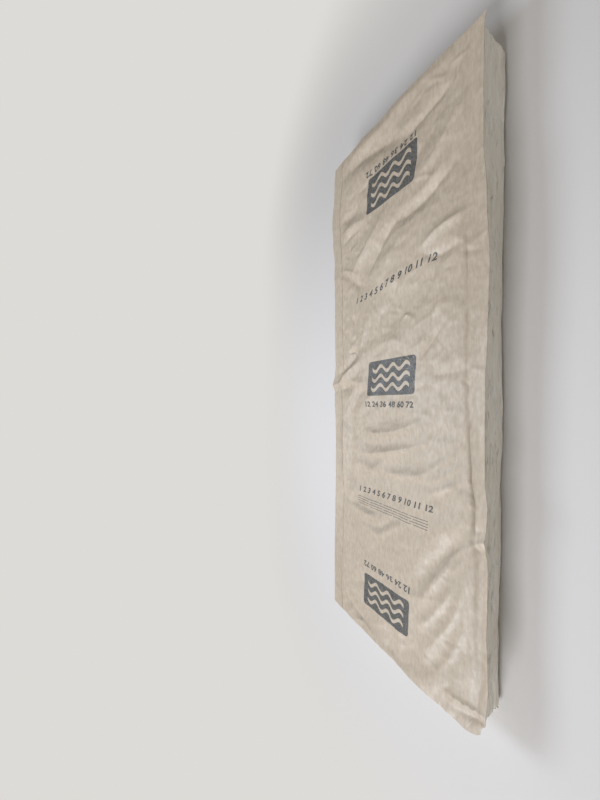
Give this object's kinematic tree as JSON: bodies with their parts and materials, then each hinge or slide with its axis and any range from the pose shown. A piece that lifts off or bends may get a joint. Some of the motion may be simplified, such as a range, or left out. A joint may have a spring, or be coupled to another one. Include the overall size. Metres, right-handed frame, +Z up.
{
  "type": "kraft-faced glass-wool insulation batt",
  "caption": "Flat rectangular glass-wool insulation batt lying on its back, with a crinkled kraft paper face whose long edges are folded back into stapling hems.",
  "frame": {"origin": "the middle of the wool's back, at the middle of the bottom of the box", "axes": "+X across the width, +Y along the length, +Z up through the thickness and out of the paper face"},
  "size_m": [0.4064, 1.1812, 0.1012],
  "materials": {
    "glass_wool": "matte",
    "kraft_paper": "satin"
  },
  "bodies": {
    "root": {"glass_wool_batt": "glass_wool", "kraft_facing": "kraft_paper"}
  },
  "joints": []
}
